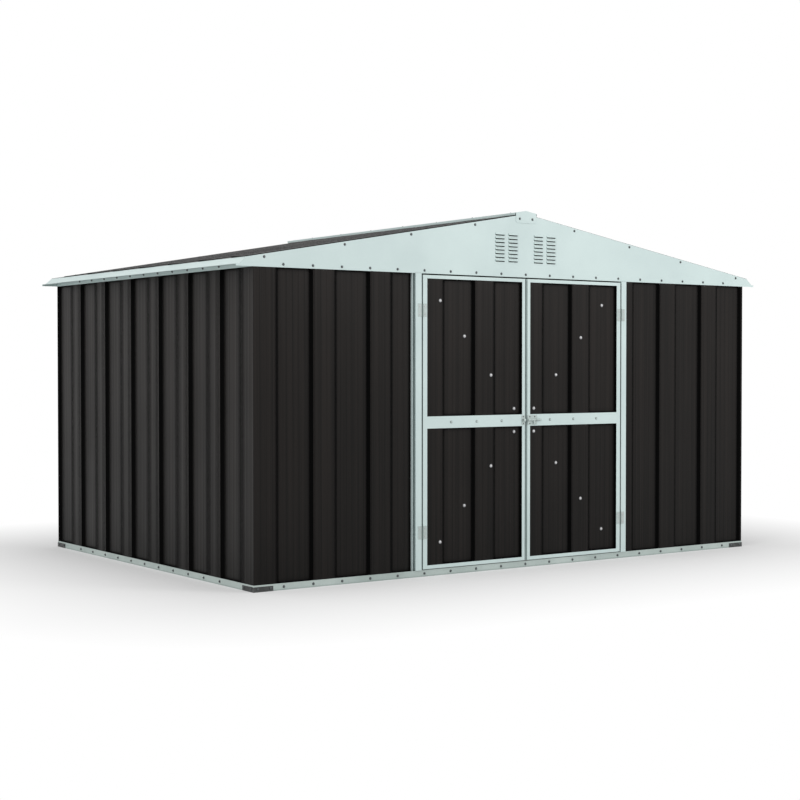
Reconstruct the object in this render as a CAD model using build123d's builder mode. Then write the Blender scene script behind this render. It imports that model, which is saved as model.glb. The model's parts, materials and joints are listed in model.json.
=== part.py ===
from build123d import *
from math import atan, cos, degrees, hypot, radians, tan
import os

os.makedirs("parts", exist_ok=True)

# Metal storage shed, in millimetres: X to the right, Y to the back, Z up, with the origin on the
# ground at the middle of the plan. The doors are in the front, at -Y.

# Overall sizes, over the outside of the rails. The eaves rise a little above the walls.
width = 4000
depth = 2800
wall_height = 1890
gable_peak = 2258
eave_rise = 25.4

# Ribbed sheet: narrow raised ribs between wide pans
cladding = 1.2
rib_pitch = 400
rib_width = 165
rib_flank = 15
rib_depth = 18
front_right_rib_offset = 35
side_rib_cut = 8
roof_verge_lip = 5

# Channels and rails
gauge = 1.5
base_rail_height = 40
top_rail_height = 36

# Corner brackets on the base rails
bracket_leg = 130
bracket_height = 30
bracket_gauge = 2

# Double doorway and its jambs
doorway_width = 1650
jamb_face = 44
jamb_step = 21
door_proud = 5
jamb_return = 40

# Door leaves
hinge_gap = 10
meeting_gap = 6
door_bottom_gap = 5
door_top_gap = 9
hinge_stile_width = 32
meeting_stile_width = 23
meeting_step_width = 7
meeting_step_depth = 8
door_top_rail_height = 21
door_bottom_rail_height = 22
mid_rail_height = 74
mid_rail_centre = 943
left_door_rib_offset = 78
right_door_rib_offset = 59
brace_width = 30
brace_gauge = 2
brace_lock_setback = 17

# Door hinges, placed from the door's lower and upper edges
hinge_height = 80
lower_hinge_centre = 226
upper_hinge_centre = 216
hinge_leaf_gauge = 1.5
hinge_leaf_width = 28
knuckle_radius = 4
pin_radius = 2
pin_clearance = 0.3
pin_forward = 3
knuckle_gap = 0.5
leaf_clearance = 1.5

# Pad bolt on the mid rails of the doors
bolt_radius = 5
bolt_travel = 30
bolt_tip_setback = 4
bolt_guide_clearance = 0.5
keeper_clearance = 1.5
bolt_plate_clearance = 1
bolt_plate_gauge = 2
bolt_plate_height = 60
bolt_plate_length = 80
strap_gauge = 2.5
strap_corner = 5
strap_width = 7
strap_inset = 2
bolt_tab_width = 10
bolt_tab_drop = 25
bolt_tab_gauge = 6
bolt_tab_clearance = 7
keeper_plate_length = 27
keeper_width = 16
keeper_inset = 4

# Roof
eave_reach = 40
eave_fall_out = 50
eave_drop_height = 42.5
eave_lip = 20
corner_cap_return = 70
corner_cap_gap = 0.3
roof_rib_depth = 5
ridge_cap_wing = 90
ridge_cap_rise = 20.7
ridge_beam_half_width = 60
ridge_beam_leg = 45
purlin_distance = 1000
purlin_height = 45
purlin_flange = 40

# Ridge end plates
end_plate_width = 166
end_plate_drop = 58
end_plate_gauge = 2
end_plate_corner = 14

# Louvres pressed in the gables. The rows start above the wall's top and go up as far as the space
# below the roof allows.
louvre_width = 75
louvre_height = 13
louvre_proud = 7
louvre_opening = 6
louvre_pitch = 23.6
louvre_rows = 8
louvre_first_row = 63
louvre_head_space = 20
louvre_column_inner = 105
louvre_column_outer = 211

# Places worked out from the sizes above
half_width = width / 2
half_depth = depth / 2
roof_pitch = degrees(atan((gable_peak - wall_height - eave_rise) / half_width))
rail_width = rib_depth + cladding + 2 * gauge
crest_half = (rib_width - rib_flank) / 2
foot_half = (rib_width + rib_flank) / 2
jamb_inner = doorway_width / 2
jamb_shoulder = jamb_inner + jamb_face
jamb_outer = jamb_shoulder + jamb_step
door_front = half_depth + door_proud
door_back = door_front - rail_width
door_hinge_edge = jamb_inner - hinge_gap
door_meeting_edge = meeting_gap / 2
door_bottom = base_rail_height + door_bottom_gap
door_top = wall_height - top_rail_height - door_top_gap
pin_x = jamb_inner - hinge_gap / 2
pin_y = -(door_front + pin_forward)


def slope(x):
    """Height of the roof sheets' underside, in the pans, at a distance from the ridge."""
    return gable_peak - abs(x) * tan(radians(roof_pitch))


def beside(points, distance):
    """The path of points shifted to its left by a distance, with its folds kept sharp."""
    path = [Vector(*point) for point in points]
    runs = [(end - start).normalized() for start, end in zip(path, path[1:])]
    normals = [Vector(-run.Y, run.X) for run in runs]
    shifted = [path[0] + normals[0] * distance]
    for corner, before, after in zip(path[1:], normals, normals[1:]):
        shifted.append(corner + (before + after) * (distance / (1 + before.dot(after))))
    shifted.append(path[-1] + normals[-1] * distance)
    return shifted


def plate(plane, points, thickness):
    """Flat plate with a straight-edged outline on a plane, as thick as given along its normal."""
    with BuildSketch(plane) as profile:
        with BuildLine():
            Polyline(*points, close=True)
        make_face()
    extrude(profile.sketch, amount=thickness)


def folded(plane, points, thickness, length):
    """Sheet metal folded along points, its thickness on their left, running along the normal."""
    plate(plane, points + beside(points, thickness)[::-1], length)


def block(low, high, mode=Mode.ADD):
    """Plain block between two opposite corners, given in any order."""
    corners = list(zip(low, high))
    corner = [min(pair) for pair in corners]
    size = [abs(pair[1] - pair[0]) for pair in corners]
    with Locations(tuple(corner)):
        Box(*size, align=(Align.MIN, Align.MIN, Align.MIN), mode=mode)


def plan(height):
    """Level plane at a height, with X and Y as its axes."""
    return Plane.XY.offset(height)


def across(x):
    """Upright plane at X, with Y and Z as its axes, facing +X."""
    return Plane.YZ.offset(x)


def lengthways(y):
    """Upright plane at Y, with X and Z as its axes, facing the front."""
    return Plane.XZ.offset(-y)


def rib_centres(first, stop):
    """Centres of ribs at the sheet's pitch, from the first to the last that starts before stop."""
    count = int((stop - first + foot_half) // rib_pitch) + 1
    return [first + rib_pitch * number for number in range(count)]


def ribbed_path(start, stop, centres, height=rib_depth):
    """Places along a ribbed sheet where it bends, each with its distance behind the crests."""
    half_bends = (-foot_half, -crest_half, crest_half, foot_half)
    bends = [centre + bend for centre in centres for bend in half_bends]
    places = [start] + [bend for bend in bends if start < bend < stop] + [stop]
    path = []
    for place in places:
        from_rib = min(abs(place - centre) for centre in centres)
        down_flank = min(max((from_rib - crest_half) / rib_flank, 0), 1)
        path.append((place, down_flank * height))
    return path


def export(part, name):
    """Label a finished piece and write it out."""
    part.label = name
    export_step(part, f"parts/{name}.step")


sides = {"left": -1, "right": 1}
ends = {"front": -1, "back": 1}

# Rails. Channels that hold the wall sheets' edges: front and back rails run the full width, and
# the side rails fit between their webs, with their outer flanges notched over them.


def cross_rail(end, web_height, open_height):
    """Front or back rail, with its web at one height and its flanges' edges at another."""
    upward = 1 if open_height > web_height else -1
    outer = end * half_depth
    inner = end * (half_depth - rail_width)
    profile = [(outer, open_height), (outer, web_height), (inner, web_height), (inner, open_height)]
    with BuildPart() as rail:
        folded(across(-half_width), profile, -end * upward * gauge, width)
        for side in sides.values():
            block(
                (side * (half_width - rail_width), inner, web_height + upward * gauge),
                (side * half_width, inner + end * gauge, open_height),
                mode=Mode.SUBTRACT,
            )
    return rail.part


def side_rail(side, web_height, open_height):
    """Left or right rail, between the webs of the front and back rails."""
    upward = 1 if open_height > web_height else -1
    outer = side * half_width
    inner = side * (half_width - rail_width)
    run = depth - 2 * rail_width
    profile = [(outer, open_height), (outer, web_height), (inner, web_height), (inner, open_height)]
    with BuildPart() as rail:
        folded(lengthways(run / 2), profile, -side * upward * gauge, run)
        for end in ends.values():
            block(
                (outer, end * run / 2, web_height + upward * gauge),
                (outer - side * gauge, end * (half_depth - gauge), open_height),
            )
    return rail.part


top_rail_bottom = wall_height - top_rail_height
for name, end in ends.items():
    export(cross_rail(end, 0, base_rail_height), f"base_rail_{name}")
    export(cross_rail(end, wall_height, top_rail_bottom), f"top_rail_{name}")
for name, side in sides.items():
    export(side_rail(side, 0, base_rail_height), f"base_rail_{name}")
    export(side_rail(side, wall_height, top_rail_bottom), f"top_rail_{name}")

with BuildPart() as base_corner_brackets:
    bracket_x = half_width + bracket_gauge
    bracket_y = half_depth + bracket_gauge
    for side in sides.values():
        for end in ends.values():
            corner = (side * bracket_x, end * bracket_y)
            along_front = (side * (bracket_x - bracket_leg), end * bracket_y)
            along_side = (side * bracket_x, end * (bracket_y - bracket_leg))
            folded(
                plan(0), [along_front, corner, along_side], side * -end * bracket_gauge, bracket_height
            )
export(base_corner_brackets.part, "base_corner_brackets")

# Wall sheets. They stand on the base rails' webs and end under the top rails' webs. Their crests
# bear on the outer flanges and their pans on the inner ones. The back and right walls are the
# front and left ones turned half round.
sheet_bottom = gauge
sheet_length = wall_height - 2 * gauge
front_crest = half_depth - gauge
side_crest = half_width - gauge
front_start = -side_crest
front_stop = side_crest - cladding
back_stop = front_stop - rib_depth
front_first_rib = front_start + crest_half
side_start = -(front_crest - cladding)
side_stop = front_crest
side_first_rib = side_start + crest_half - side_rib_cut


def front_sheet(start, stop, first_rib, turn=1):
    """Ribbed sheet of the front wall, or of the back wall where it is turned half round."""
    path = ribbed_path(start, stop, rib_centres(first_rib, stop))
    points = [(turn * place, -turn * (front_crest - inward)) for place, inward in path]
    with BuildPart() as sheet:
        folded(plan(sheet_bottom), points, cladding, sheet_length)
    return sheet.part


def side_sheet(turn=1):
    """Ribbed sheet of the left wall, or of the right wall where it is turned half round."""
    path = ribbed_path(side_start, side_stop, rib_centres(side_first_rib, side_stop))
    points = [(-turn * (side_crest - inward), turn * place) for place, inward in path]
    with BuildPart() as sheet:
        folded(plan(sheet_bottom), points, -cladding, sheet_length)
    return sheet.part


sheet_edge_at_door = jamb_inner + gauge
front_right_first_rib = jamb_inner + front_right_rib_offset
export(front_sheet(front_start, -sheet_edge_at_door, front_first_rib), "front_wall_left")
export(front_sheet(sheet_edge_at_door, front_stop, front_right_first_rib), "front_wall_right")
export(front_sheet(front_start, back_stop, front_first_rib, turn=-1), "back_wall")
export(side_sheet(), "left_wall")
export(side_sheet(turn=-1), "right_wall")

# Door jambs, folded round the front sheets' edges between the rails. The left one has a groove
# beyond its shoulder, with its floor on a pan, and the right one's shoulder bears on a rib.
pan_face = front_crest - rib_depth
pan_back = pan_face - cladding
jamb_height = wall_height - base_rail_height - top_rail_height


def door_jamb(side, beyond_shoulder):
    """Jamb on one side of the doorway, ending in the folds given beyond its shoulder."""
    profile = [
        (jamb_inner + jamb_return, -(pan_back - gauge)),
        (jamb_inner, -(pan_back - gauge)),
        (jamb_inner, -door_front),
        (jamb_shoulder, -door_front),
    ]
    points = [(side * x, y) for x, y in profile + beyond_shoulder]
    with BuildPart() as jamb:
        folded(plan(base_rail_height), points, side * gauge, jamb_height)
    return jamb.part


groove = [
    (jamb_shoulder, -(pan_face + gauge)),
    (jamb_outer - gauge, -(pan_face + gauge)),
    (jamb_outer - gauge, -half_depth),
]
lip_on_rib = [(jamb_shoulder, -front_crest)]
export(door_jamb(-1, groove), "door_jamb_left")
export(door_jamb(1, lip_on_rib), "door_jamb_right")

# Gables. Each end is two flat sheets that meet in a seam under the ridge, with a bottom flange on
# the top rail, a top flange under the roof, and two columns of louvres.


def gable(end, side):
    """One half of a gable, on the left or right of the seam."""
    face = end * half_depth
    outline = [
        (0, wall_height),
        (side * half_width, wall_height),
        (side * half_width, slope(half_width)),
        (0, gable_peak),
    ]
    top_flange = [
        (0, gable_peak),
        (side * half_width, slope(half_width)),
        (side * half_width, slope(half_width) - cladding),
        (0, gable_peak - cladding),
    ]
    with BuildPart() as half:
        plate(lengthways(face), outline, end * cladding)
        plate(lengthways(face), top_flange, end * rail_width)
        block(
            (0, face, wall_height),
            (side * half_width, face - end * rail_width, wall_height + cladding),
        )
        for column in (side * louvre_column_inner, side * louvre_column_outer):
            louvres(end, column)
    return half.part


def louvres(end, column):
    """Column of louvres: hoods pressed out of the sheet, each open below its lip."""
    face = end * half_depth
    lip = face + end * louvre_proud
    sheet_along = cladding * hypot(louvre_height, louvre_proud) / louvre_height
    hood = [(face, louvre_height), (lip, 0), (face, 0)]
    inside = [
        (face - end * sheet_along, louvre_height),
        (lip - end * sheet_along, 0),
        (lip - end * sheet_along, -louvre_opening),
        (face - end * sheet_along, -louvre_opening),
    ]
    first = wall_height + louvre_first_row
    highest = slope(louvre_column_outer + louvre_width / 2) - louvre_head_space - louvre_height
    count = min(louvre_rows, int((highest - first) // louvre_pitch) + 1)
    rows = [(0, first + louvre_pitch * row) for row in range(count)]
    for outline, width_across, mode in (
        (hood, louvre_width, Mode.ADD),
        (inside, louvre_width - 2 * cladding, Mode.SUBTRACT),
    ):
        with BuildSketch(across(column)) as sections:
            with Locations(*rows):
                Polygon(*outline, align=None)
        extrude(sections.sketch, amount=width_across / 2, both=True, mode=mode)


for end_name, end in ends.items():
    for side_name, side in sides.items():
        export(gable(end, side), f"gable_{end_name}_{side_name}")

# Roof. Ribbed sheets run down each slope, carried by the gables, the ridge beam, a purlin on each
# slope and the eave trims. The right sheet is the left one turned half round.
inner_length = depth - 2 * rail_width
roof_rib_first = -half_depth + roof_verge_lip + foot_half
slope_length = (half_width + eave_reach) / cos(radians(roof_pitch))
crest_rise = (roof_rib_depth + cladding) / cos(radians(roof_pitch))


def down_slope(side):
    """Plane across the roof at the ridge, facing down one slope, with its Y axis out of the roof."""
    fall = Vector(side * cos(radians(roof_pitch)), 0, -tan(radians(roof_pitch)) * cos(radians(roof_pitch)))
    return Plane(origin=(0, 0, gable_peak), x_dir=(0, side, 0), z_dir=fall)


def roof_sheet(side):
    """Ribbed sheet over one slope, from the ridge to past the wall."""
    centres = rib_centres(roof_rib_first, half_depth - rib_width)
    path = ribbed_path(-half_depth, half_depth, centres, roof_rib_depth)
    points = [(-place, roof_rib_depth - inward) for place, inward in path]
    with BuildPart() as sheet:
        folded(down_slope(side), points, -cladding, slope_length)
    return sheet.part


eave_edge = half_width + eave_reach
eave_lip_start = eave_edge + eave_fall_out
eave_lip_stop = eave_lip_start + eave_lip
eave_lip_level = slope(eave_edge) - eave_drop_height
outer_start = half_width + cladding
eave_outside = [
    (eave_edge, slope(eave_edge)),
    (eave_lip_start, eave_lip_level),
    (eave_lip_stop, eave_lip_level),
]
eave_hanging = [(outer_start, slope(outer_start))] + eave_outside


def eave_trim(side):
    """Folded trim that stands on a side rail, carries the roof's edge and hangs outside it."""
    inner = half_width - rail_width
    standing = [(half_width, wall_height), (inner, wall_height), (inner, slope(inner))]
    full = [(side * x, z) for x, z in standing + eave_outside]
    hanging = [(side * x, z) for x, z in eave_hanging]
    with BuildPart() as trim:
        folded(lengthways(inner_length / 2), full, -side * cladding, inner_length)
        folded(lengthways(half_depth), hanging, -side * cladding, depth)
    return trim.part


for name, side in sides.items():
    export(roof_sheet(side), f"roof_sheet_{name}")
    export(eave_trim(side), f"eave_trim_{name}")

# Corner caps close the ends of the eave trims, level with the top rails' lower edges, and turn back
# along the side rails.
with BuildPart() as roof_corner_caps:
    under_trim = beside(eave_hanging, -(cladding + corner_cap_gap))
    cap_end = [(point.X, point.Y) for point in under_trim]
    cap_end += [(eave_lip_stop, top_rail_bottom), (half_width, top_rail_bottom)]
    cap_end += [(half_width, cap_end[0][1])]
    for side in sides.values():
        for end in ends.values():
            outline = [(side * x, z) for x, z in cap_end]
            plate(lengthways(end * half_depth), outline, end * cladding)
            block(
                (side * half_width, end * half_depth, top_rail_bottom),
                (side * outer_start, end * (half_depth - corner_cap_return), wall_height),
            )
export(roof_corner_caps.part, "roof_corner_caps")

# The ridge cap stands on the roof's ribs on its turned-down edges.
with BuildPart() as ridge_cap:
    edge_foot = slope(ridge_cap_wing - cladding) + crest_rise
    edge_top = slope(ridge_cap_wing) + ridge_cap_rise
    section = [
        (-ridge_cap_wing, edge_foot),
        (-ridge_cap_wing, edge_top),
        (0, gable_peak + ridge_cap_rise),
        (ridge_cap_wing, edge_top),
        (ridge_cap_wing, edge_foot),
    ]
    folded(lengthways(half_depth), section, -cladding, depth)
export(ridge_cap.part, "ridge_cap")

with BuildPart() as ridge_beam:
    shoulder = slope(ridge_beam_half_width)
    section = [
        (-ridge_beam_half_width, shoulder - ridge_beam_leg),
        (-ridge_beam_half_width, shoulder),
        (0, gable_peak),
        (ridge_beam_half_width, shoulder),
        (ridge_beam_half_width, shoulder - ridge_beam_leg),
    ]
    folded(lengthways(inner_length / 2), section, -gauge, inner_length)
export(ridge_beam.part, "ridge_beam")

with BuildPart() as purlins:
    for side in sides.values():
        near = side * purlin_distance
        far = side * (purlin_distance + purlin_flange)
        section = [
            (far, slope(far) - purlin_height),
            (near, slope(near) - purlin_height),
            (near, slope(near)),
            (far, slope(far)),
        ]
        folded(lengthways(inner_length / 2), section, -side * gauge, inner_length)
export(purlins.part, "purlins")

with BuildPart() as ridge_end_plates:
    for end in ends.values():
        half_plate = end_plate_width / 2
        outline = [
            (-half_plate, gable_peak - end_plate_drop),
            (half_plate, gable_peak - end_plate_drop),
            (half_plate, slope(half_plate) + ridge_cap_rise),
            (0, gable_peak + ridge_cap_rise),
            (-half_plate, slope(half_plate) + ridge_cap_rise),
        ]
        with BuildSketch(lengthways(end * half_depth)) as face:
            with BuildLine():
                Polyline(*outline, close=True)
            make_face()
            fillet(face.vertices().group_by(Axis.Y)[0], end_plate_corner)
        extrude(face.sketch, amount=-end * end_plate_gauge)
export(ridge_end_plates.part, "ridge_end_plates")

# Door leaves. Channel stiles and rails hold two ribbed panels, and two braces behind them run from
# the hinge-side corners to the mid rail at the meeting stile.
panel_hinge_edge = door_hinge_edge - gauge
panel_meeting_edge = door_meeting_edge + meeting_step_width + gauge
stile_hinge_inner = door_hinge_edge - hinge_stile_width
stile_face_edge = door_meeting_edge + meeting_step_width
stile_meeting_inner = stile_face_edge + meeting_stile_width
step_face = door_front - meeting_step_depth


def door_stiles(side):
    """Hinge stile and stepped meeting stile of one door, both full height."""
    hinge_stile = [
        (side * stile_hinge_inner, -door_front),
        (side * door_hinge_edge, -door_front),
        (side * door_hinge_edge, -door_back),
        (side * stile_hinge_inner, -door_back),
    ]
    meeting_stile = [
        (side * stile_meeting_inner, -door_front),
        (side * stile_face_edge, -door_front),
        (side * stile_face_edge, -step_face),
        (side * door_meeting_edge, -step_face),
        (side * door_meeting_edge, -door_back),
        (side * stile_meeting_inner, -door_back),
    ]
    with BuildPart() as stiles:
        folded(plan(door_bottom), hinge_stile, side * gauge, door_top - door_bottom)
        folded(plan(door_bottom), meeting_stile, -side * gauge, door_top - door_bottom)
    return stiles.part


def door_rails(side):
    """Top, mid and bottom rails of one door, between its stiles' flanges."""
    start = side * stile_meeting_inner
    run = side * (stile_hinge_inner - stile_meeting_inner)
    top_inner = door_top - door_top_rail_height
    bottom_inner = door_bottom + door_bottom_rail_height
    top_rail = [
        (-door_front, top_inner),
        (-door_front, door_top),
        (-door_back, door_top),
        (-door_back, top_inner),
    ]
    bottom_rail = [
        (-door_front, bottom_inner),
        (-door_front, door_bottom),
        (-door_back, door_bottom),
        (-door_back, bottom_inner),
    ]
    mid_low = mid_rail_centre - mid_rail_height / 2
    mid_high = mid_rail_centre + mid_rail_height / 2
    with BuildPart() as rails:
        folded(across(start), top_rail, -gauge, run)
        folded(across(start), bottom_rail, gauge, run)
        block((start, -door_front, mid_low), (start + run, -door_front + gauge, mid_high))
        block((start, -door_back - gauge, mid_low), (start + run, -door_back, mid_high))
        for web in (door_bottom + gauge / 2, mid_rail_centre, door_top - gauge / 2):
            block(
                (side * panel_meeting_edge, -door_front + gauge, web - gauge / 2),
                (side * panel_hinge_edge, -door_back - gauge, web + gauge / 2),
            )
    return rails.part


def door_panel(side, low, high):
    """Ribbed panel of one door between two of its rails' webs."""
    edges = sorted((side * panel_meeting_edge, side * panel_hinge_edge))
    first = -door_hinge_edge + left_door_rib_offset
    if side > 0:
        first = door_meeting_edge + right_door_rib_offset
    path = ribbed_path(*edges, rib_centres(first, edges[1] - foot_half))
    points = [(place, inward - door_front + gauge) for place, inward in path]
    with BuildPart() as panel:
        folded(plan(low), points, cladding, high - low)
    return panel.part


def door_braces(side):
    """Two flat braces behind one door's panels, from its hinge-side corners to its mid rail."""
    hinge_end = side * stile_hinge_inner
    lock_end = side * (stile_meeting_inner + brace_lock_setback)
    runs = (
        (door_top - brace_width, mid_rail_centre + mid_rail_height / 2),
        (door_bottom + brace_width, mid_rail_centre - mid_rail_height / 2),
    )
    with BuildPart() as braces:
        for hinge_z, lock_z in runs:
            length = hypot(hinge_end - lock_end, hinge_z - lock_z)
            half = brace_width / 2 * length / abs(hinge_end - lock_end)
            outline = [
                (hinge_end, hinge_z - half),
                (hinge_end, hinge_z + half),
                (lock_end, lock_z + half),
                (lock_end, lock_z - half),
            ]
            plate(lengthways(-door_back), outline, -brace_gauge)
    return braces.part


# Hinges. Each is a leaf on the jamb with the pin and two knuckles, and a leaf on the stile with
# the middle knuckle.
hinge_centres = (door_bottom + lower_hinge_centre, door_top - upper_hinge_centre)
knuckle_pitch = hinge_height / 3
leaf_reach = knuckle_radius + leaf_clearance


def hinge_leaves(side, outward, levels):
    """Leaves of one door's two hinges, on the jamb's side of the pin or on the door's."""
    near = side * (pin_x + outward * leaf_reach)
    far = side * (pin_x + outward * (leaf_reach + hinge_leaf_width))
    front = -(door_front + hinge_leaf_gauge)
    for centre in hinge_centres:
        block((near, front, centre - hinge_height / 2), (far, -door_front, centre + hinge_height / 2))
        for level in levels:
            low = centre + level * knuckle_pitch - (knuckle_pitch - knuckle_gap) / 2
            high = low + knuckle_pitch - knuckle_gap
            block((near, front, low), (side * pin_x, -door_front, high))
            knuckle(side, low, high, knuckle_radius)


def knuckle(side, low, high, radius, mode=Mode.ADD):
    """Upright cylinder on a hinge's axis."""
    with Locations((side * pin_x, pin_y, low)):
        Cylinder(radius, high - low, align=(Align.CENTER, Align.CENTER, Align.MIN), mode=mode)


def door_hinge_leaves(side):
    """Door's side of its two hinges, bored for the pins."""
    with BuildPart() as leaves:
        hinge_leaves(side, -1, (0,))
        for centre in hinge_centres:
            low = centre - hinge_height / 2
            knuckle(side, low, low + hinge_height, pin_radius + pin_clearance, mode=Mode.SUBTRACT)
    return leaves.part


with BuildPart() as jamb_hinge_leaves:
    for side in sides.values():
        hinge_leaves(side, 1, (-1, 1))
        for centre in hinge_centres:
            low = centre - (hinge_height - knuckle_gap) / 2
            knuckle(side, low, low + hinge_height - knuckle_gap, pin_radius)
export(jamb_hinge_leaves.part, "jamb_hinge_leaves")

for name, side in sides.items():
    export(door_stiles(side), f"{name}_door_stiles")
    export(door_rails(side), f"{name}_door_rails")
    upper = door_panel(side, mid_rail_centre + gauge / 2, door_top - gauge)
    lower = door_panel(side, door_bottom + gauge, mid_rail_centre - gauge / 2)
    export(upper, f"{name}_door_upper_panel")
    export(lower, f"{name}_door_lower_panel")
    export(door_braces(side), f"{name}_door_braces")
    export(door_hinge_leaves(side), f"{name}_door_hinge_leaves")

# Pad bolt. A round bolt slides in two straps on the right door, and is thrown into a keeper on the
# left door. It is drawn back clear of the left door at rest.
bolt_plate_face = door_front + bolt_plate_gauge
bolt_y = -(bolt_plate_face + bolt_plate_clearance + bolt_radius)
bolt_plate_start = stile_face_edge
bolt_plate_stop = bolt_plate_start + bolt_plate_length
near_strap = bolt_plate_start + strap_inset
far_strap = bolt_plate_stop - strap_inset - strap_width
bolt_stop = bolt_plate_stop + bolt_travel
bolt_tab_start = near_strap + strap_width + bolt_travel + bolt_tab_clearance


def strap_loop(clearance, thickness):
    """Outline of a strap round the bolt, standing on its plate, with its front corners rounded."""
    reach = bolt_radius + clearance + thickness
    leg = -bolt_y + reach - bolt_plate_face
    with BuildSketch(mode=Mode.PRIVATE) as loop:
        with Locations((bolt_y - reach + leg / 2, mid_rail_centre)):
            Rectangle(leg, 2 * reach)
        fillet(loop.vertices().group_by(Axis.X)[0], strap_corner - strap_gauge + thickness)
    return loop.sketch


def bolt_strap(x, width_along, clearance):
    """Strap bent round the bolt, standing on its plate."""
    with BuildSketch(across(x)) as loop:
        add(strap_loop(clearance, strap_gauge))
        add(strap_loop(clearance, 0), mode=Mode.SUBTRACT)
    extrude(loop.sketch, amount=width_along)


def bolt_plate(start, stop):
    """Plate of the bolt or its keeper, on the faces of the mid rail and the meeting stile."""
    half = bolt_plate_height / 2
    block((start, -bolt_plate_face, mid_rail_centre - half), (stop, -door_front, mid_rail_centre + half))


with BuildPart() as latch_plate:
    bolt_plate(bolt_plate_start, bolt_plate_stop)
    bolt_strap(near_strap, strap_width, bolt_guide_clearance)
    bolt_strap(far_strap, strap_width, bolt_guide_clearance)
export(latch_plate.part, "latch_plate")

with BuildPart() as latch_keeper:
    bolt_plate(-stile_face_edge, -stile_face_edge - keeper_plate_length)
    bolt_strap(-stile_face_edge - keeper_inset, -keeper_width, keeper_clearance)
export(latch_keeper.part, "latch_keeper")

with BuildPart() as latch_bolt:
    with BuildSketch(across(bolt_tip_setback)) as rod:
        with Locations((bolt_y, mid_rail_centre)):
            Circle(bolt_radius)
    extrude(amount=bolt_stop - bolt_tip_setback)
    block(
        (bolt_tab_start, bolt_y - bolt_tab_gauge / 2, mid_rail_centre - bolt_tab_drop),
        (bolt_tab_start + bolt_tab_width, bolt_y + bolt_tab_gauge / 2, mid_rail_centre),
    )
export(latch_bolt.part, "latch_bolt")
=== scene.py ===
"""Looks of the metal storage shed: finishes, fasteners, floor, light and camera, in metres."""

import json
import math
from collections import namedtuple

import bmesh
import bpy
from mathutils import Matrix, Vector


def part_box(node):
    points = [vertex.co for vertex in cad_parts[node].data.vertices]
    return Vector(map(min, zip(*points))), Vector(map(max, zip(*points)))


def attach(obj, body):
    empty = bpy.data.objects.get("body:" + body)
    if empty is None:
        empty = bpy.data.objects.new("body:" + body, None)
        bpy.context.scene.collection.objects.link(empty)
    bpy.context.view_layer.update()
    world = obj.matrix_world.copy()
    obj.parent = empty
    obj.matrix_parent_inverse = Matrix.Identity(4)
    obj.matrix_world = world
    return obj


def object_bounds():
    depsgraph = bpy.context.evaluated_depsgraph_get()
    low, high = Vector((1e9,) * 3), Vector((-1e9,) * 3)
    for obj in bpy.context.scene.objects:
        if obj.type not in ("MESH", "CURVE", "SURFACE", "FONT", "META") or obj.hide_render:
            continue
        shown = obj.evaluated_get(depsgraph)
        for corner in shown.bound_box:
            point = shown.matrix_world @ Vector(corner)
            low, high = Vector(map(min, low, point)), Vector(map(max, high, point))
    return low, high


# Camera: place in metres, turn in degrees, lens and sensor in millimetres
CAMERA_PLACE = (-6.432, -9.155, 1.290)
CAMERA_TURN = (88.753, 0.0, -35.093)
CAMERA_LENS = 70.61
CAMERA_SENSOR = 36.0
CAMERA_SEES_TO = 500.0

# Lights: place, the point faced, side of the square in metres and power in watts
KEY_LIGHT = ((-8.5, -3.5, 7.0), (0.0, 0.0, 1.0), 6.0, 270.0)
FILL_LIGHT = ((4.5, -8.0, 4.5), (1.2, 0.0, 1.5), 3.0, 200.0)
SURROUND_LIGHT = 0.68
SURROUND_SEEN = 1.0
WHITE = (1.0, 1.0, 1.0, 1.0)

# Floor: its shadow fades to white over a distance from the shed
FLOOR_REACH = 120.0
FLOOR_COLOUR = (0.80, 0.80, 0.80, 1.0)
FLOOR_ROUGHNESS = 0.9
FLOOR_WHITE_AT_SHED = 0.2
FLOOR_FADE = 1.7

# Colours as written, in sRGB from 0 to 255
CHARCOAL = (38, 34, 32)
CHARCOAL_STREAK = (19, 18, 17)
# Near-black painted shade on the ribs' flanks, in creases, at the walls' foot and beside the ribs' far
# flanks
CHARCOAL_PAINTED_SHADE = (1, 1, 1)
PALE = (209, 226, 224)
PALE_SHADE = (199, 216, 215)
# Painted shade in the corners of the pale trims
PALE_PAINTED_SHADE = (84, 98, 96)
ZINC = (192, 204, 200)
ZINC_SHADE = (158, 172, 168)
DARK_ZINC = (86, 88, 87)
DARK_ZINC_SHADE = (58, 60, 60)
FRAME_ZINC = (176, 181, 182)
FRAME_ZINC_SHADE = (150, 155, 157)
STEEL = (196, 209, 206)
STEEL_SHADE = (168, 181, 178)
BOLT_ZINC = (112, 117, 118)
BOLT_ZINC_SHADE = (78, 82, 84)
BRIGHT_ZINC = (214, 213, 214)
BRIGHT_ZINC_SHADE = (180, 180, 182)
PIN_DARK_BAND = (74, 92, 88)
WASHER_RUBBER = (30, 30, 31)

# Noise: a range is the part of its values that is used, and a scale is in cells for each metre
NOISE_RANGE = (0.3, 0.7)
CLOSE_NOISE_RANGE = (0.35, 0.65)
PEEL_SCALE = 900.0
PEEL_DEPTH = 0.00002
PEEL_DETAIL = 2.0
BUCKLE_DETAIL = 2.0

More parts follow.
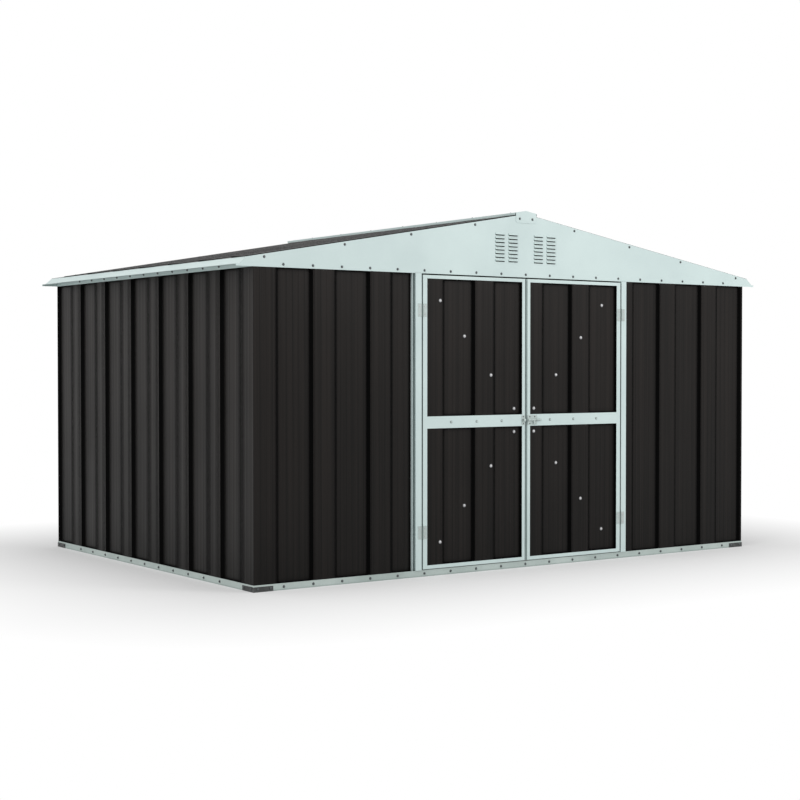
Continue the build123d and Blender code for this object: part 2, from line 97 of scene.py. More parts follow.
# Charcoal paint: fine lines rolled along the sheets, streaks, blotches and a darker foot.
# A share is how much of the streak colour each of them adds.
LINE_PITCH = 0.041
LINE_DEPTH = 0.0004
LINE_WAVE_RANGE = (0.55, 1.0)
LINE_SHARE = 0.35
STREAK_SCALE_ACROSS = 34.0
STREAK_SCALE_ALONG = 0.25
STREAK_DETAIL = 5.0
STREAK_NOISE_ROUGHNESS = 0.75
STREAK_SHARE = 0.85
BLOTCH_SCALE = 1.3
BLOTCH_SHARE = 0.3
FOOT_SHADE_HEIGHT = 1.4
FOOT_SHADE_SHARE = 0.5
FULL_STREAK_TONE = 1.4
CHARCOAL_ROUGHNESS = (0.34, 0.42)
CREASE_ROUGHNESS = 0.95
CHARCOAL_BUCKLE_SCALES = (1.6, 1.6, 0.9)
CHARCOAL_BUCKLE_DEPTH = 0.010
CHARCOAL_SPECULAR = 0.10

# Painted shade in creases: how far it reaches, and how open a place is where it starts and where it is full
CREASE_SAMPLES = 8
CREASE_REACH = 0.035
CHARCOAL_CREASE_LEVELS = (0.95, 0.70)
PALE_CREASE_REACH = 0.025
PALE_CREASE_LEVELS = (0.75, 0.25)
PALE_CREASE_SHARE = 0.9

# Painted shade in lines beside the ribs' far flanks, with a wider reach on the side walls, which face along
# X
SHADE_LINE_SAMPLES = 6
FRONT_SHADE_LINE_REACH = 0.018
SIDE_SHADE_LINE_REACH = 0.075
SIDE_WALL_RANGE = (0.7, 0.9)
# Direction of the ribs' side that gets the lines of painted shade
SHADED_SIDE = (1.0, 1.0, 0.0)
SHADE_LINE_LEAN_RANGE = (0.015, 0.07)

# Ribs' sloping sides, told by how their normals lean, and the line at the walls' foot, both painted
# near-black as shade
WALL_FLANK_RANGE = (0.15, 0.30)
ROOF_FLANK_RANGE = (0.10, 0.20)
FOOT_PAINTED_SHADE = 0.010

# Pale paint
PALE_BLOTCH_SCALE = 2.2
PALE_BLOTCH_DETAIL = 4.0
PALE_BLOTCH_SHARE = 0.7
PALE_SPECK_SCALE = 60.0
PALE_SPECK_RANGE = (0.55, 0.8)
PALE_SPECK_SHARE = 0.3
PALE_ROUGHNESS = (0.34, 0.46)
PALE_BUCKLE_SCALE = 2.5
PALE_BUCKLE_DEPTH = 0.004
PALE_SPECULAR = 0.4

# Zinc finishes: colour, shade, how metallic, how rough, and cells of spangle in each metre
DARK_STEEL = (DARK_ZINC, DARK_ZINC_SHADE, 0.5, 0.5, 55.0)
FRAME_STEEL = (FRAME_ZINC, FRAME_ZINC_SHADE, 0.6, 0.4, 40.0)
BOLT_STEEL = (STEEL, STEEL_SHADE, 0.15, 0.4, 300.0)
HINGE_STEEL = (STEEL, STEEL_SHADE, 0.1, 0.4, 300.0)
PLAIN_HEADS = (BOLT_ZINC, BOLT_ZINC_SHADE, 0.7, 0.4, 500.0)
BRIGHT_HEADS = (BRIGHT_ZINC, BRIGHT_ZINC_SHADE, 0.2, 0.35, 500.0)
SPANGLE_SHARE = 0.5
CLOUD_SCALE = 5.0
CLOUD_DETAIL = 4.0
CLOUD_SHARE = 0.5
ZINC_SMOOTHER = 0.06
ZINC_ROUGHER = 0.08
ZINC_BUCKLE_SCALE = 30.0
ZINC_BUCKLE_DEPTH = 0.0003

# Rubber of the washers, and the darker band round the hinge pins, whose edge is in shares of the barrel's
# size
RUBBER_ROUGHNESS = 0.7
RUBBER_GRAIN = 700.0
FLAT_ROUGHNESS_SPREAD = 0.05
FLAT_GRAIN_DEPTH = 0.0001
PIN_DARK_BAND_SHARE = 0.8
PIN_DARK_BAND_EDGE = (0.9, 1.1)

# Heads of fasteners, each made of solids of revolution: radii with heights, number of sides,
# number of the material, if it turns from one head to the next, and if its sides are smooth.
# The step of that turn is in radians.
METAL_NUMBER = 0
RUBBER_NUMBER = 1
TURN_STEP = 1.1
Solid = namedtuple("Solid", "profile sides material turns smooth", defaults=(False, False))
HEX_BOLT = (
    Solid([(0.0080, -0.0002), (0.0080, 0.0010), (0.0072, 0.0014)], 20, RUBBER_NUMBER),
    Solid([(0.0066, 0.0012), (0.0066, 0.0018), (0.0050, 0.0026)], 20, METAL_NUMBER),
    Solid([(0.0046, 0.0022), (0.0046, 0.0062), (0.0038, 0.0068)], 6, METAL_NUMBER, turns=True),
)
DOME_PROFILE = [(0.0096, 0.0008), (0.0096, 0.0016), (0.0086, 0.0036), (0.0062, 0.0052), (0.0024, 0.0060)]
DOME_BOLT = (
    Solid([(0.0140, -0.0002), (0.0140, 0.0008), (0.0130, 0.0012)], 24, RUBBER_NUMBER),
    Solid(DOME_PROFILE, 24, METAL_NUMBER, smooth=True),
)
PAN_PROFILE = [(0.0042, -0.0002), (0.0042, 0.0010), (0.0036, 0.0020), (0.0018, 0.0025)]
PAN_SCREW = (Solid(PAN_PROFILE, 14, METAL_NUMBER, smooth=True),)

# Places of fasteners
RAIL_BOLT_PITCH = 0.2
RAIL_BOLTS_END_GAP = 0.2
GABLE_BOLTS_X = (0.41, 0.90, 1.38, 1.927)
GABLE_BOLT_DROP = 0.017
RIDGE_PLATE_BOLT_X = 0.052
RIDGE_PLATE_BOLT_DROP = 0.0525
MID_RAIL_HEIGHT = 0.943
MID_RAIL_BOLTS_X = (0.2, 0.4, 0.6)
LEFT_PANEL_BOLTS_X = (-0.684, -0.483, -0.286, -0.085)
RIGHT_PANEL_BOLTS_X = (0.664, 0.464, 0.266, 0.064)
PANEL_BOLTS_UPPER_Z = (1.691, 1.475, 1.232, 1.018)
PANEL_BOLTS_LOWER_Z = (0.205, 0.419, 0.660, 0.871)
HINGE_CENTRES = (0.271, 1.629)
HINGE_PIN_X = 0.820
HINGE_SCREW_REACH = 0.0195
HINGE_SCREW_SPREAD = 0.024
HINGE_BARREL_PROUD = 0.0055
BRACKET_BOLT_INSETS = (0.028, 0.112)
BRACKET_BOLT_HEIGHT = 0.018
LATCH_PLATE_GAUGE = 0.002
LATCH_SCREW_SPREAD = 0.022
LATCH_SCREWS_X = (0.030, 0.070)
KEEPER_SCREWS_X = (-0.0235,)
ROOF_FIRST_RIB = -1.305
ROOF_RIB_PITCH = 0.4
ROOF_RIB_COUNT = 7
ROOF_SCREWS_X = (1.02, 1.99)
RIDGE_SCREW_X = 0.05
TO_FRONT = (0, -1, 0)

# What is allowed for rounding, and how far in front of the shed a ray starts
TOLERANCE = 0.001
RAY_START = 1.0

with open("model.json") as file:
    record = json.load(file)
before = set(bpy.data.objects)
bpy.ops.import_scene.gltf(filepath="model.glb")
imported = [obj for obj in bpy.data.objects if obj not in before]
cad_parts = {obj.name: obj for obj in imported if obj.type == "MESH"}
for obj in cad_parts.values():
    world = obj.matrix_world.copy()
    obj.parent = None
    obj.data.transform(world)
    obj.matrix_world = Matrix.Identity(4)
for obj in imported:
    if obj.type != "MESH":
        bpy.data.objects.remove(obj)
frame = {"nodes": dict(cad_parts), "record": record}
cad_low, cad_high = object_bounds()


def linear(colour):
    """Linear colour with alpha from sRGB numbers of 0 to 255."""
    parts = [value / 255 for value in colour]
    return [p / 12.92 if p <= 0.04045 else ((p + 0.055) / 1.055) ** 2.4 for p in parts] + [1.0]


class Nodes:
    """Short way to build one material's nodes."""

    MIX_COLOUR_INPUTS = (6, 7)
    MIX_COLOUR_OUTPUT = 2

    def __init__(self, name, material=None):
        self.material = material or bpy.data.materials.new(name)
        self.material.use_nodes = True
        self.tree = self.material.node_tree
        self.shader = self.tree.nodes["Principled BSDF"]
        self.output = self.tree.nodes["Material Output"]

    def add(self, kind, settings=None, **inputs):
        """New node with its properties set and its inputs linked or given values."""
        node = self.tree.nodes.new(kind)
        for key, value in (settings or {}).items():
            setattr(node, key, value)
        for key, value in inputs.items():
            self.put(node, key.replace("_", " "), value)
        return node

    def put(self, node, name, value):
        """Link an output to an input, or set its value. A name such as in0 or in2 is the input's number."""
        by_number = name.startswith("in") and name[2:].isdigit()
        self.feed(node.inputs[int(name[2:]) if by_number else name], value)

    def feed(self, socket, value):
        """Link an output to a socket, or set the socket's value."""
        if isinstance(value, bpy.types.NodeSocket):
            self.tree.links.new(value, socket)
        else:
            socket.default_value = value

    def math(self, operation, first, second=0.0):
        """Result of a sum on one or two values."""
        node = self.add("ShaderNodeMath", {"operation": operation}, in0=first, in1=second)
        return node.outputs[0]

    def fold(self, operation, first, *others):
        """Result of one sum carried through several values."""
        for other in others:
            first = self.math(operation, first, other)
        return first

    def vector_math(self, operation, first, second):
        """Outputs of a sum on two vectors."""
        return self.add("ShaderNodeVectorMath", {"operation": operation}, in0=first, in1=second).outputs

    def axes(self, vector):
        """Outputs X, Y and Z of a vector."""
        return self.add("ShaderNodeSeparateXYZ", None, Vector=vector).outputs

    def place(self):
        """Point on the object, in metres."""
        return self.add("ShaderNodeTexCoord").outputs["Object"]

    def scaled(self, vector, scale):
        """Vector times a scale along each axis."""
        node = self.add("ShaderNodeMapping", None, Vector=vector)
        node.inputs["Scale"].default_value = scale
        return node.outputs[0]

    def noise(self, vector, scale, detail=3.0, roughness=0.5):
        """Noise value from 0 to 1."""
        settings = {"Vector": vector, "Scale": scale, "Detail": detail, "Roughness": roughness}
        return self.add("ShaderNodeTexNoise", None, **settings).outputs["Fac"]

    def ramp(self, value, low, high, to_low=0.0, to_high=1.0):
        """Value stretched from one range to another, and held at its ends."""
        node = self.add("ShaderNodeMapRange", None, Value=value)
        for number, setting in enumerate((low, high, to_low, to_high), 1):
            node.inputs[number].default_value = setting
        return node.outputs[0]

    def mix(self, factor, *colours):
        """Blend of two colours."""
        node = self.add("ShaderNodeMix", {"data_type": "RGBA"})
        self.tree.links.new(factor, node.inputs["Factor"])
        for number, colour in zip(self.MIX_COLOUR_INPUTS, colours):
            self.feed(node.inputs[number], colour)
        return node.outputs[self.MIX_COLOUR_OUTPUT]

    def bump(self, height, distance, normal=None):
        """Normal from a height, with its distance in metres."""
        node = self.add("ShaderNodeBump", None, Height=height)
        node.inputs["Distance"].default_value = distance
        node.inputs["Strength"].default_value = 1.0
        if normal is not None:
            self.tree.links.new(normal, node.inputs["Normal"])
        return node.outputs[0]

    def peel(self, place, under):
        """Fine unevenness of a painted face, over the normal of the sheet under it."""
        return self.bump(self.noise(place, PEEL_SCALE, PEEL_DETAIL), PEEL_DEPTH, under)

    def finish(self, metallic=0.0, specular=0.5):
        """Constants of the shader, set on its own sockets."""
        self.shader.inputs["Metallic"].default_value = metallic
        self.shader.inputs["Specular IOR Level"].default_value = specular
        return self.material


def crease(nodes, reach, open_level, closed_level):
    """Share of painted shade that sits in corners, from 0 in the open to 1."""
    shade = nodes.add("ShaderNodeAmbientOcclusion", {"samples": CREASE_SAMPLES}, Distance=reach)
    return nodes.ramp(shade.outputs["AO"], closed_level, open_level, 1.0, 0.0)


def far_flank_shade(nodes):
    """1 in a narrow line of painted shade beside the far flank of each rib."""
    facing = nodes.add("ShaderNodeNewGeometry").outputs["True Normal"]
    sideways = nodes.math("ABSOLUTE", nodes.axes(facing)["X"])
    reach = nodes.ramp(sideways, *SIDE_WALL_RANGE, FRONT_SHADE_LINE_REACH, SIDE_SHADE_LINE_REACH)
    rounded = nodes.add("ShaderNodeBevel", {"samples": SHADE_LINE_SAMPLES}, Radius=reach)
    lean = nodes.vector_math("SUBTRACT", rounded.outputs[0], facing)[0]
    shaded_lean = nodes.vector_math("DOT_PRODUCT", lean, SHADED_SIDE)["Value"]
    return nodes.ramp(shaded_lean, *SHADE_LINE_LEAN_RANGE)


def flank(nodes, on_roof):
    """Mask of painted shade on the ribs: 1 on their sloping sides and 0 on their crests and pans."""
    parts = nodes.axes(nodes.add("ShaderNodeTexCoord").outputs["Normal"])
    if on_roof:
        return nodes.ramp(nodes.math("ABSOLUTE", parts["Y"]), *ROOF_FLANK_RANGE)
    both = nodes.math("MULTIPLY", parts["X"], parts["Y"])
    return nodes.ramp(nodes.math("ABSOLUTE", both), *WALL_FLANK_RANGE)


def charcoal_paint(name, across_weights, on_roof):
    """Dark satin paint on ribbed sheet, with fine lines rolled along it, slight unevenness and painted
    shade on the ribs' flanks, in creases and, on walls, at the foot and beside far flanks.
    """
    nodes = Nodes(name)
    place = nodes.place()
    across = nodes.vector_math("DOT_PRODUCT", place, across_weights)["Value"]
    scales = tuple(STREAK_SCALE_ACROSS if weight else STREAK_SCALE_ALONG for weight in across_weights)
    streaks = nodes.noise(nodes.scaled(place, scales), 1.0, STREAK_DETAIL, STREAK_NOISE_ROUGHNESS)
    wave = nodes.math("SINE", nodes.math("MULTIPLY", across, 2 * math.pi / LINE_PITCH))
    line = nodes.ramp(wave, *LINE_WAVE_RANGE)
    blotches = nodes.noise(place, BLOTCH_SCALE)
    height = nodes.axes(place)["Z"]
    tone = nodes.fold(
        "ADD",
        nodes.ramp(streaks, *CLOSE_NOISE_RANGE, 0.0, STREAK_SHARE),
        nodes.ramp(blotches, *NOISE_RANGE, 0.0, BLOTCH_SHARE),
        nodes.math("MULTIPLY", line, LINE_SHARE),
        nodes.ramp(height, 0.0, FOOT_SHADE_HEIGHT, FOOT_SHADE_SHARE, 0.0),
    )
    colour = nodes.mix(nodes.ramp(tone, 0.0, FULL_STREAK_TONE), linear(CHARCOAL), linear(CHARCOAL_STREAK))
    # Painted shade: near-black on the ribs' flanks and in creases
    shade_masks = [flank(nodes, on_roof), crease(nodes, CREASE_REACH, *CHARCOAL_CREASE_LEVELS)]
    # On walls also painted shade in a line at the foot and in lines beside the ribs' far flanks
    if not on_roof:
        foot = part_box("left_wall")[0][2]
        shade_masks.append(nodes.ramp(height, foot + FOOT_PAINTED_SHADE, foot + FOOT_PAINTED_SHADE / 2))
        # Painted shade in lines beside the ribs' far flanks
        shade_masks.append(far_flank_shade(nodes))
    dark = nodes.fold("MAXIMUM", *shade_masks)
    nodes.put(nodes.shader, "Base Color", nodes.mix(dark, colour, linear(CHARCOAL_PAINTED_SHADE)))
    smooth = nodes.ramp(blotches, *NOISE_RANGE, *CHARCOAL_ROUGHNESS)
    rough = nodes.math("MULTIPLY", dark, CREASE_ROUGHNESS)
    nodes.put(nodes.shader, "Roughness", nodes.math("MAXIMUM", smooth, rough))
    waves = nodes.noise(nodes.scaled(place, CHARCOAL_BUCKLE_SCALES), 1.0, BUCKLE_DETAIL)
    buckle = nodes.bump(waves, CHARCOAL_BUCKLE_DEPTH)
    nodes.put(nodes.shader, "Normal", nodes.peel(place, nodes.bump(line, LINE_DEPTH, buckle)))
    return nodes.finish(specular=CHARCOAL_SPECULAR)


def pale_paint(name, light, shade):
    """Pale satin paint on folded trim, with slight unevenness, fine specks and painted shade in its
    corners.
    """
    nodes = Nodes(name)
    place = nodes.place()
    blotches = nodes.noise(place, PALE_BLOTCH_SCALE, PALE_BLOTCH_DETAIL)
    specks = nodes.noise(place, PALE_SPECK_SCALE)
    tone = nodes.math(
        "ADD",
        nodes.ramp(blotches, *CLOSE_NOISE_RANGE, 0.0, PALE_BLOTCH_SHARE),
        nodes.ramp(specks, *PALE_SPECK_RANGE, 0.0, PALE_SPECK_SHARE),
    )
    colour = nodes.mix(tone, linear(light), linear(shade))
    # Painted shade in the trim's corners
    shadow = crease(nodes, PALE_CREASE_REACH, *PALE_CREASE_LEVELS)
    corners = nodes.math("MULTIPLY", shadow, PALE_CREASE_SHARE)
    nodes.put(nodes.shader, "Base Color", nodes.mix(corners, colour, linear(PALE_PAINTED_SHADE)))
    nodes.put(nodes.shader, "Roughness", nodes.ramp(blotches, *NOISE_RANGE, *PALE_ROUGHNESS))
    buckle = nodes.bump(nodes.noise(place, PALE_BUCKLE_SCALE, BUCKLE_DETAIL), PALE_BUCKLE_DEPTH)
    nodes.put(nodes.shader, "Normal", nodes.peel(place, buckle))
    return nodes.finish(specular=PALE_SPECULAR)


def zinc(name, light, shade, metallic, roughness, grain):
    """Galvanised steel with its spangle and slight unevenness."""
    nodes = Nodes(name)
    place = nodes.place()
    spangle = nodes.add("ShaderNodeTexVoronoi", None, Vector=place, Scale=grain)
    cells = nodes.add("ShaderNodeSeparateColor", None, Color=spangle.outputs["Color"]).outputs[0]
    clouds = nodes.noise(place, CLOUD_SCALE, CLOUD_DETAIL)
    tone = nodes.math(
        "ADD",
        nodes.math("MULTIPLY", cells, SPANGLE_SHARE),
        nodes.ramp(clouds, *NOISE_RANGE, 0.0, CLOUD_SHARE),
    )
    nodes.put(nodes.shader, "Base Color", nodes.mix(tone, linear(light), linear(shade)))
    rough = nodes.ramp(cells, 0.0, 1.0, roughness - ZINC_SMOOTHER, roughness + ZINC_ROUGHER)
    nodes.put(nodes.shader, "Roughness", rough)
    waves = nodes.noise(place, ZINC_BUCKLE_SCALE)
    nodes.put(nodes.shader, "Normal", nodes.bump(waves, ZINC_BUCKLE_DEPTH))
    return nodes.finish(metallic=metallic)


def hinge_finish():
    """Hinge steel, darker in a band round the pins."""
    material = zinc("hinge steel", *HINGE_STEEL)
    nodes = Nodes(material.name, material)
    sideways = nodes.math("ABSOLUTE", nodes.axes(nodes.place())["X"])
    away = nodes.math("ABSOLUTE", nodes.math("SUBTRACT", sideways, HINGE_PIN_X))
    near, far = (HINGE_BARREL_PROUD * edge for edge in PIN_DARK_BAND_EDGE)
    pin = nodes.ramp(away, near, far, PIN_DARK_BAND_SHARE, 0.0)
    steel = nodes.shader.inputs["Base Color"].links[0].from_socket
    nodes.put(nodes.shader, "Base Color", nodes.mix(pin, steel, linear(PIN_DARK_BAND)))
    return material


def flat_finish(name, light, shade, roughness, grain):
    """Dull even finish, such as rubber, with slight grain."""
    nodes = Nodes(name)
    grainy = nodes.noise(nodes.place(), grain)
    nodes.put(nodes.shader, "Base Color", nodes.mix(grainy, linear(light), linear(shade)))
    low, high = roughness - FLAT_ROUGHNESS_SPREAD, roughness + FLAT_ROUGHNESS_SPREAD
    nodes.put(nodes.shader, "Roughness", nodes.ramp(grainy, *NOISE_RANGE, low, high))
    nodes.put(nodes.shader, "Normal", nodes.bump(grainy, FLAT_GRAIN_DEPTH))
    return nodes.finish()


WALL_PAINT = charcoal_paint("charcoal wall paint", (1.0, 1.0, 0.0), on_roof=False)
ROOF_PAINT = charcoal_paint("charcoal roof paint", (0.0, 1.0, 0.0), on_roof=True)
FINISHES = {
    "charcoal_sheet": WALL_PAINT,
    "pale_trim": pale_paint("pale trim paint", PALE, PALE_SHADE),
    "base_zinc": pale_paint("base rail zinc", ZINC, ZINC_SHADE),
    "dark_galvanised": zinc("dark galvanised steel", *DARK_STEEL),
    "galvanised_frame": zinc("galvanised frame", *FRAME_STEEL),
    "hinge_steel": zinc("hinge and bolt steel", *BOLT_STEEL),
}
BOLT_FINISH = zinc("zinc bolt", *PLAIN_HEADS)
BRIGHT_FINISH = zinc("bright zinc bolt", *BRIGHT_HEADS)
HINGE_FINISH = hinge_finish()
RUBBER = flat_finish("rubber washer", WASHER_RUBBER, DARK_ZINC_SHADE, RUBBER_ROUGHNESS, RUBBER_GRAIN)


def dress_nodes():
    """Give each CAD node its slot's finish. Roof sheets and hinge leaves have finishes of their own."""
    for part in frame["record"]["subparts"]:
        mesh = frame["nodes"][part["node"]].data
        finish = FINISHES[part["material_slot"]]
        if part["node"].startswith("roof_sheet"):
            finish = ROOF_PAINT
        if part["node"].endswith("hinge_leaves"):
            finish = HINGE_FINISH
        for slot in range(len(mesh.materials)):
            mesh.materials[slot] = finish


def ring(mesh, place, radius, height, sides, turn):
    """Ring of points round an axis."""
    angles = [turn + 2 * math.pi * number / sides for number in range(sides)]
    points = [Vector((radius * math.cos(angle), radius * math.sin(angle), height)) for angle in angles]
    return [mesh.verts.new(place @ point) for point in points]


def turned(mesh, place, solid, turn):
    """Closed solid of revolution through a list of radii and heights."""
    rings = [ring(mesh, place, radius, height, solid.sides, turn) for radius, height in solid.profile]
    faces = [mesh.faces.new(rings[0][::-1]), mesh.faces.new(rings[-1])]
    for low, high in zip(rings, rings[1:]):
        for number in range(solid.sides):
            following = (number + 1) % solid.sides
            face = mesh.faces.new((low[number], low[following], high[following], high[number]))
            face.smooth = solid.smooth
            faces.append(face)
    for face in faces:
        face.material_index = solid.material


def fasteners(name, body, kind, places, finish=BOLT_FINISH):
    """One piece of many like heads, each at a point and facing along a direction."""
    mesh = bmesh.new()
    for number, (point, facing) in enumerate(places):
        standing = Vector(facing).to_track_quat("Z", "Y").to_matrix().to_4x4()
        place = Matrix.Translation(point) @ standing
        for solid in kind:
            turned(mesh, place, solid, number * TURN_STEP if solid.turns else 0.0)
    data = bpy.data.meshes.new(name)
    mesh.to_mesh(data)
    mesh.free()
    data.materials.append(finish)
    data.materials.append(RUBBER)
    piece = bpy.data.objects.new(name, data)
    bpy.context.collection.objects.link(piece)
    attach(piece, body)


def evenly(half_length):
    """Places at the rail bolts' pitch, on both sides of the middle."""
    count = int((half_length - RAIL_BOLTS_END_GAP) / RAIL_BOLT_PITCH + TOLERANCE)
    return [RAIL_BOLT_PITCH * number for number in range(-count, count + 1)]


def rail_bolts():
    """Bolts along the base and top rails, on all four sides."""
    places = []
    for level in ("base", "top"):
        for name, facing in (("front", -1), ("back", 1)):
            rail = f"{level}_rail_{name}"
            low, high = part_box(rail)
            face = low[1] if facing < 0 else high[1]
            height = (low[2] + high[2]) / 2
            places += [((x, face, height), (0, facing, 0)) for x in evenly(high[0])]
        for name, facing in (("left", -1), ("right", 1)):
            rail = f"{level}_rail_{name}"
            low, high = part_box(rail)
            face = low[0] if facing < 0 else high[0]
            height = (low[2] + high[2]) / 2
            places += [((face, y, height), (facing, 0, 0)) for y in evenly(high[1])]
    fasteners("rail_bolts", "shed", HEX_BOLT, places)


def slope_at_wall():
    """Height of the gable's upper edge at the outside of the side wall."""
    mesh = frame["nodes"]["gable_front_left"].data
    edge = min(vertex.co.x for vertex in mesh.vertices)
    return max(vertex.co.z for vertex in mesh.vertices if vertex.co.x < edge + TOLERANCE)


def edge_fall(low, high):
    """Fall of a gable's upper edge for each metre sideways, from the corners of its left half's box."""
    return (high[2] - slope_at_wall()) / abs(low[0])


def gable_bolts():
    """Bolts under the roof's edge in the gables, and in the ridge end plates."""
    places = []
    for name, facing in (("front", -1), ("back", 1)):
        low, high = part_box(f"gable_{name}_left")
        fall = edge_fall(low, high)
        rail_low, rail_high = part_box(f"top_rail_{name}")
        face = rail_low[1] if facing < 0 else rail_high[1]
        for x in GABLE_BOLTS_X:
            height = high[2] - fall * x - GABLE_BOLT_DROP
            places += [((side * x, face, height), (0, facing, 0)) for side in (-1, 1)]
        plate_low, plate_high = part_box("ridge_end_plates")
        plate_face = plate_low[1] if facing < 0 else plate_high[1]
        height = plate_high[2] - RIDGE_PLATE_BOLT_DROP
        places += [((side * RIDGE_PLATE_BOLT_X, plate_face, height), (0, facing, 0)) for side in (-1, 1)]
    fasteners("gable_bolts", "shed", HEX_BOLT, places)


def panel_face(node, x, height):
    """Y of a panel's front face, met by a line from in front of it."""
    before = Vector((x, cad_low[1] - RAY_START, height))
    place = frame["nodes"][node].ray_cast(before, Vector((0.0, 1.0, 0.0)))[1]
    return place[1]


def door_bolts():
    """Dome heads that hold the braces behind the door panels, and bolts along the mid rails."""
    for name, columns in (("left", LEFT_PANEL_BOLTS_X), ("right", RIGHT_PANEL_BOLTS_X)):
        body = f"{name}_door"
        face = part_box(f"{name}_door_rails")[0][1]
        side = math.copysign(1, columns[0])
        places = [((side * x, face, MID_RAIL_HEIGHT), TO_FRONT) for x in MID_RAIL_BOLTS_X]
        steel = FINISHES["hinge_steel"]
        fasteners(f"{name}_door_rail_bolts", body, HEX_BOLT, places, steel)
        places = []
        for level, heights in (("upper", PANEL_BOLTS_UPPER_Z), ("lower", PANEL_BOLTS_LOWER_Z)):
            for x, height in zip(columns, heights):
                face = panel_face(f"{name}_door_{level}_panel", x, height)
                places.append(((x, face, height), TO_FRONT))
        fasteners(f"{name}_door_brace_bolts", body, DOME_BOLT, places, BRIGHT_FINISH)


def hinge_screws():
    """Screws in the hinge leaves, on the jambs and on the doors."""
    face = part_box("jamb_hinge_leaves")[0][1] + HINGE_BARREL_PROUD
    offsets = (-HINGE_SCREW_SPREAD, HINGE_SCREW_SPREAD)
    heights = [centre + offset for centre in HINGE_CENTRES for offset in offsets]
    jamb_places = []
    for name, side in (("left", -1), ("right", 1)):
        door = f"{name}_door"
        jamb_x = side * (HINGE_PIN_X + HINGE_SCREW_REACH)
        door_x = side * (HINGE_PIN_X - HINGE_SCREW_REACH)
        jamb_places += [((jamb_x, face, height), TO_FRONT) for height in heights]
        door_places = [((door_x, face, height), TO_FRONT) for height in heights]
        fasteners(f"{door}_hinge_screws", door, PAN_SCREW, door_places, BRIGHT_FINISH)
    fasteners("jamb_hinge_screws", "shed", PAN_SCREW, jamb_places, BRIGHT_FINISH)


def bracket_bolts():
    """Bolts in both legs of each corner bracket on the base rails."""
    low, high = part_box("base_corner_brackets")
    places = []
    for inset in BRACKET_BOLT_INSETS:
        for side, x in ((-1, low[0]), (1, high[0])):
            for end, y in ((-1, low[1]), (1, high[1])):
                places.append(((x - side * inset, y, BRACKET_BOLT_HEIGHT), (0, end, 0)))
                places.append(((x, y - end * inset, BRACKET_BOLT_HEIGHT), (side, 0, 0)))
    fasteners("bracket_bolts", "shed", HEX_BOLT, places)


def latch_screws():
    """Screws in the pad bolt's plate and in its keeper's plate."""
    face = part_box("right_door_stiles")[0][1] - LATCH_PLATE_GAUGE
    heights = (MID_RAIL_HEIGHT - LATCH_SCREW_SPREAD, MID_RAIL_HEIGHT + LATCH_SCREW_SPREAD)
    for node, body, columns in (
        ("latch_plate", "right_door", LATCH_SCREWS_X),
        ("latch_keeper", "left_door", KEEPER_SCREWS_X),
    ):
        places = [((x, face, height), TO_FRONT) for x in columns for height in heights]
        fasteners(f"{node}_screws", body, PAN_SCREW, places)


def roof_screws():
    """Low screws through the ribs' crests into the purlins and side rails, and in the ridge cap."""
    cap_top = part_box("ridge_cap")[1][2]
    fall = edge_fall(*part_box("gable_front_left"))
    tilt = math.atan(fall)
    places = []
    for name, side in (("left", -1), ("right", 1)):
        mesh = frame["nodes"][f"roof_sheet_{name}"].data
        top = max(vertex.co.z for vertex in mesh.vertices)
        out = (side * math.sin(tilt), 0, math.cos(tilt))
        for number in range(ROOF_RIB_COUNT):
            y = -side * (ROOF_FIRST_RIB + ROOF_RIB_PITCH * number)
            places += [((side * x, y, top - fall * x), out) for x in ROOF_SCREWS_X]
            places.append(((side * RIDGE_SCREW_X, y, cap_top - fall * RIDGE_SCREW_X), out))
    fasteners("roof_screws", "shed", PAN_SCREW, places)


def floor_material():
    """White floor that keeps a soft shadow."""
    nodes = Nodes("white floor")
    nodes.put(nodes.shader, "Base Color", FLOOR_COLOUR)
    nodes.put(nodes.shader, "Roughness", FLOOR_ROUGHNESS)
    nodes.shader.inputs["Specular IOR Level"].default_value = 0.0
    light = nodes.add("ShaderNodeLightPath").outputs
    rays = [light[kind] for kind in ("Is Camera Ray", "Is Glossy Ray", "Is Transmission Ray")]
    seen = nodes.fold("MAXIMUM", *rays)
    glow = nodes.add("ShaderNodeEmission", None, Color=WHITE, Strength=1.0)
    parts = nodes.axes(nodes.place())
    squares = []
    for axis, half in (("X", cad_high[0]), ("Y", cad_high[1])):
        away = nodes.math("SUBTRACT", nodes.math("ABSOLUTE", parts[axis]), half)
        away = nodes.math("MAXIMUM", away, 0.0)
        squares.append(nodes.math("MULTIPLY", away, away))
    distance = nodes.math("SQRT", nodes.fold("ADD", *squares))
    share = nodes.ramp(distance, 0.0, FLOOR_FADE, FLOOR_WHITE_AT_SHED, 1.0)
    blend = nodes.add("ShaderNodeMixShader")
    nodes.put(blend, "in0", nodes.math("MULTIPLY", seen, share))
    nodes.put(blend, "in1", nodes.shader.outputs[0])
    nodes.put(blend, "in2", glow.outputs[0])
    nodes.put(nodes.output, "Surface", blend.outputs[0])
    return nodes.material


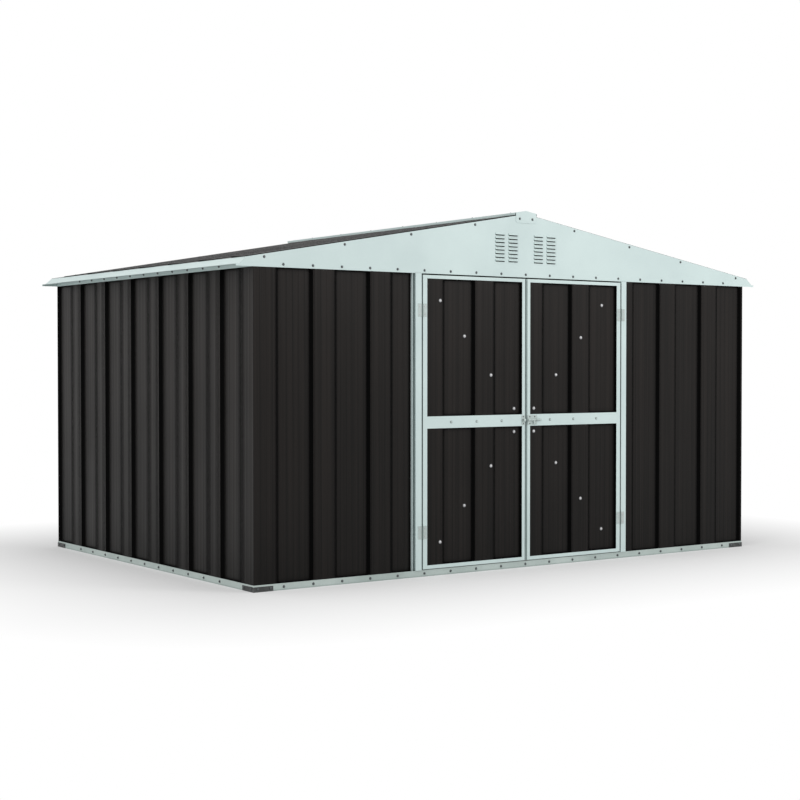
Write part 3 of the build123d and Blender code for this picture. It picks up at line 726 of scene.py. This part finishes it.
def make_floor():
    """Plain pale floor, far wider than the view."""
    mesh = bmesh.new()
    bmesh.ops.create_grid(mesh, x_segments=1, y_segments=1, size=FLOOR_REACH)
    data = bpy.data.meshes.new("floor")
    mesh.to_mesh(data)
    mesh.free()
    data.materials.append(floor_material())
    floor = bpy.data.objects.new("floor", data)
    bpy.context.collection.objects.link(floor)


def make_world():
    """Even pale surround, white to the camera, in reflections and through clear materials."""
    world = bpy.data.worlds.new("pale surround")
    bpy.context.scene.world = world
    world.use_nodes = True
    tree = world.node_tree
    background = tree.nodes["Background"]
    background.inputs["Color"].default_value = WHITE
    light = tree.nodes.new("ShaderNodeLightPath")
    seen = light.outputs["Is Camera Ray"]
    for kind in ("Is Glossy Ray", "Is Transmission Ray"):
        largest = tree.nodes.new("ShaderNodeMath")
        largest.operation = "MAXIMUM"
        tree.links.new(seen, largest.inputs[0])
        tree.links.new(light.outputs[kind], largest.inputs[1])
        seen = largest.outputs[0]
    blend = tree.nodes.new("ShaderNodeMapRange")
    tree.links.new(seen, blend.inputs["Value"])
    blend.inputs["To Min"].default_value = SURROUND_LIGHT
    blend.inputs["To Max"].default_value = SURROUND_SEEN
    tree.links.new(blend.outputs[0], background.inputs["Strength"])


def area_light(name, place, target, size, power):
    """Square soft light that faces a point."""
    data = bpy.data.lights.new(name, "AREA")
    data.size = size
    data.energy = power
    light = bpy.data.objects.new(name, data)
    light.location = place
    light.rotation_mode = "QUATERNION"
    light.rotation_quaternion = (Vector(target) - Vector(place)).to_track_quat("-Z", "Y")
    bpy.context.collection.objects.link(light)


def make_camera():
    """Camera at the photograph's viewing angle."""
    data = bpy.data.cameras.new("camera")
    data.lens = CAMERA_LENS
    data.sensor_width = CAMERA_SENSOR
    data.clip_end = CAMERA_SEES_TO
    camera = bpy.data.objects.new("camera", data)
    camera.location = CAMERA_PLACE
    camera.rotation_euler = [math.radians(angle) for angle in CAMERA_TURN]
    bpy.context.collection.objects.link(camera)
    bpy.context.scene.camera = camera


dress_nodes()
rail_bolts()
gable_bolts()
door_bolts()
hinge_screws()
bracket_bolts()
latch_screws()
roof_screws()
make_floor()
make_world()
area_light("key", *KEY_LIGHT)
area_light("fill", *FILL_LIGHT)
make_camera()
bpy.context.scene.view_settings.view_transform = "Standard"
